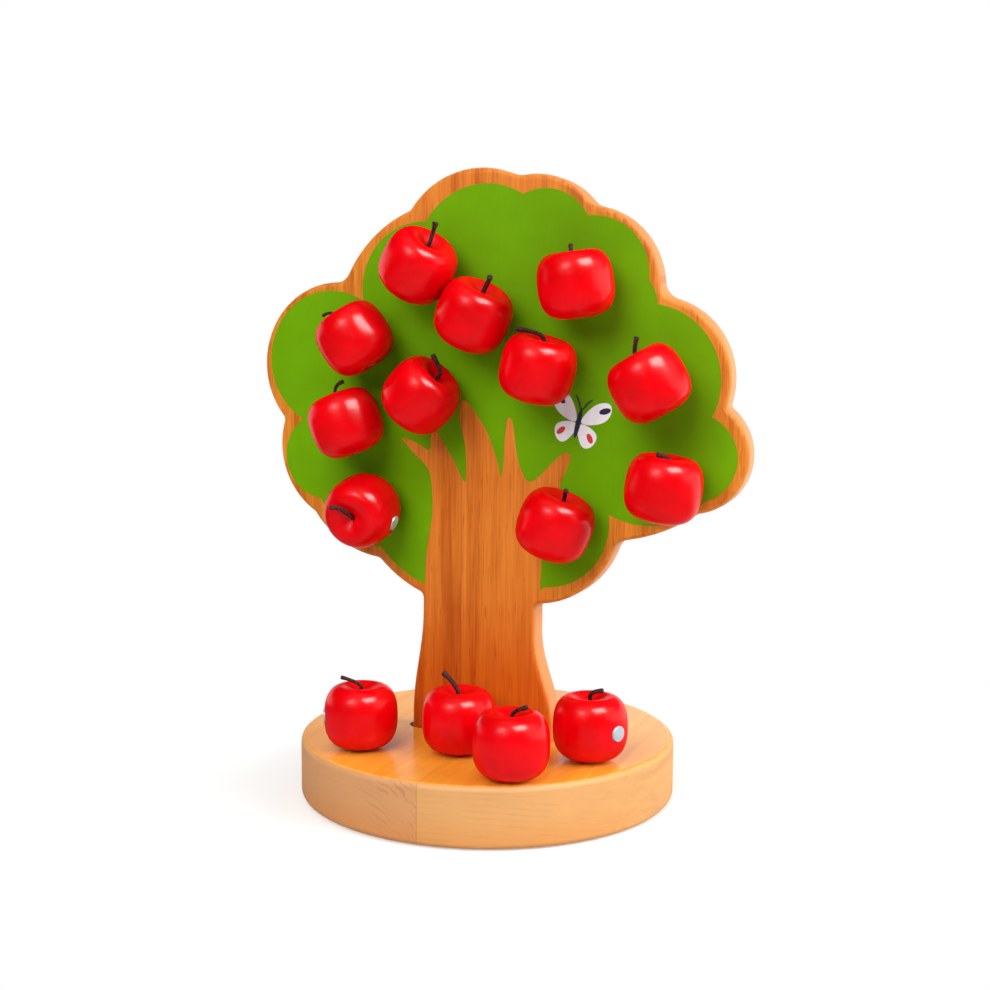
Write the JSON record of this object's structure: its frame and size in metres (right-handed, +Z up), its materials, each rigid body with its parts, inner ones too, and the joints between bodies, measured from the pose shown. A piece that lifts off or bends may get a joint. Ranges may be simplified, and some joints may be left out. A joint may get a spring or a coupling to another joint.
{
  "type": "magnetic apple tree toy",
  "caption": "Flat wooden tree with a green printed crown on a round wooden base, with fifteen red magnetic wooden apples, eleven on the tree and four on the base.",
  "frame": {"origin": "centre of the base's underside", "axes": "+Z up, the tree's printed front faces -Y, +X to the right seen from the front"},
  "size_m": [0.1897, 0.141, 0.2318],
  "materials": {
    "light_wood": "clear satin lacquer",
    "red_lacquer": "gloss red lacquer",
    "green_print": "flat printed ink on wood",
    "steel_sheet": "plain",
    "magnet": "nickel plated",
    "stem_cord": "waxed"
  },
  "bodies": {
    "base": {"base_disc": "light_wood"},
    "tree": {"tree_board": "light_wood", "steel_sheet": "steel_sheet", "back_panel": "light_wood", "crown_print": "green_print"},
    "apple_01": {"apple_01_body": "red_lacquer", "apple_01_magnet": "magnet", "apple_01_stem": "stem_cord"},
    "apple_02": {"apple_02_body": "red_lacquer", "apple_02_magnet": "magnet", "apple_02_stem": "stem_cord"},
    "apple_03": {"apple_03_body": "red_lacquer", "apple_03_magnet": "magnet", "apple_03_stem": "stem_cord"},
    "apple_04": {"apple_04_body": "red_lacquer", "apple_04_magnet": "magnet", "apple_04_stem": "stem_cord"},
    "apple_05": {"apple_05_body": "red_lacquer", "apple_05_magnet": "magnet", "apple_05_stem": "stem_cord"},
    "apple_06": {"apple_06_body": "red_lacquer", "apple_06_magnet": "magnet", "apple_06_stem": "stem_cord"},
    "apple_07": {"apple_07_body": "red_lacquer", "apple_07_magnet": "magnet", "apple_07_stem": "stem_cord"},
    "apple_08": {"apple_08_body": "red_lacquer", "apple_08_magnet": "magnet", "apple_08_stem": "stem_cord"},
    "apple_09": {"apple_09_body": "red_lacquer", "apple_09_magnet": "magnet", "apple_09_stem": "stem_cord"},
    "apple_10": {"apple_10_body": "red_lacquer", "apple_10_magnet": "magnet", "apple_10_stem": "stem_cord"},
    "apple_11": {"apple_11_body": "red_lacquer", "apple_11_magnet": "magnet", "apple_11_stem": "stem_cord"},
    "apple_12": {"apple_12_body": "red_lacquer", "apple_12_magnet": "magnet", "apple_12_stem": "stem_cord"},
    "apple_13": {"apple_13_body": "red_lacquer", "apple_13_magnet": "magnet", "apple_13_stem": "stem_cord"},
    "apple_14": {"apple_14_body": "red_lacquer", "apple_14_magnet": "magnet", "apple_14_stem": "stem_cord"},
    "apple_15": {"apple_15_body": "red_lacquer", "apple_15_magnet": "magnet", "apple_15_stem": "stem_cord"}
  },
  "joints": [
    {"name": "tree_lift", "type": "slide", "parent": "base", "child": "tree", "axis": [0, 0, 1], "range_m": [0, 0.02]},
    {"name": "apple_01_pull", "type": "slide", "parent": "tree", "child": "apple_01", "axis": [0, -1, 0], "range_m": [0, 0.03]},
    {"name": "apple_02_pull", "type": "slide", "parent": "tree", "child": "apple_02", "axis": [0, -1, 0], "range_m": [0, 0.03]},
    {"name": "apple_03_pull", "type": "slide", "parent": "tree", "child": "apple_03", "axis": [0, -1, 0], "range_m": [0, 0.03]},
    {"name": "apple_04_pull", "type": "slide", "parent": "tree", "child": "apple_04", "axis": [0, -1, 0], "range_m": [0, 0.03]},
    {"name": "apple_05_pull", "type": "slide", "parent": "tree", "child": "apple_05", "axis": [0, -1, 0], "range_m": [0, 0.03]},
    {"name": "apple_06_pull", "type": "slide", "parent": "tree", "child": "apple_06", "axis": [0, -1, 0], "range_m": [0, 0.03]},
    {"name": "apple_07_pull", "type": "slide", "parent": "tree", "child": "apple_07", "axis": [0, -1, 0], "range_m": [0, 0.03]},
    {"name": "apple_08_pull", "type": "slide", "parent": "tree", "child": "apple_08", "axis": [0, -1, 0], "range_m": [0, 0.03]},
    {"name": "apple_09_pull", "type": "slide", "parent": "tree", "child": "apple_09", "axis": [0, -1, 0], "range_m": [0, 0.03]},
    {"name": "apple_10_pull", "type": "slide", "parent": "tree", "child": "apple_10", "axis": [0, -1, 0], "range_m": [0, 0.03]},
    {"name": "apple_11_pull", "type": "slide", "parent": "tree", "child": "apple_11", "axis": [0, -1, 0], "range_m": [0, 0.03]},
    {"name": "apple_12_lift", "type": "slide", "parent": "base", "child": "apple_12", "axis": [0, 0, 1], "range_m": [0, 0.03]},
    {"name": "apple_13_lift", "type": "slide", "parent": "base", "child": "apple_13", "axis": [0, 0, 1], "range_m": [0, 0.03]},
    {"name": "apple_14_lift", "type": "slide", "parent": "base", "child": "apple_14", "axis": [0, 0, 1], "range_m": [0, 0.03]},
    {"name": "apple_15_lift", "type": "slide", "parent": "base", "child": "apple_15", "axis": [0, 0, 1], "range_m": [0, 0.03]}
  ]
}
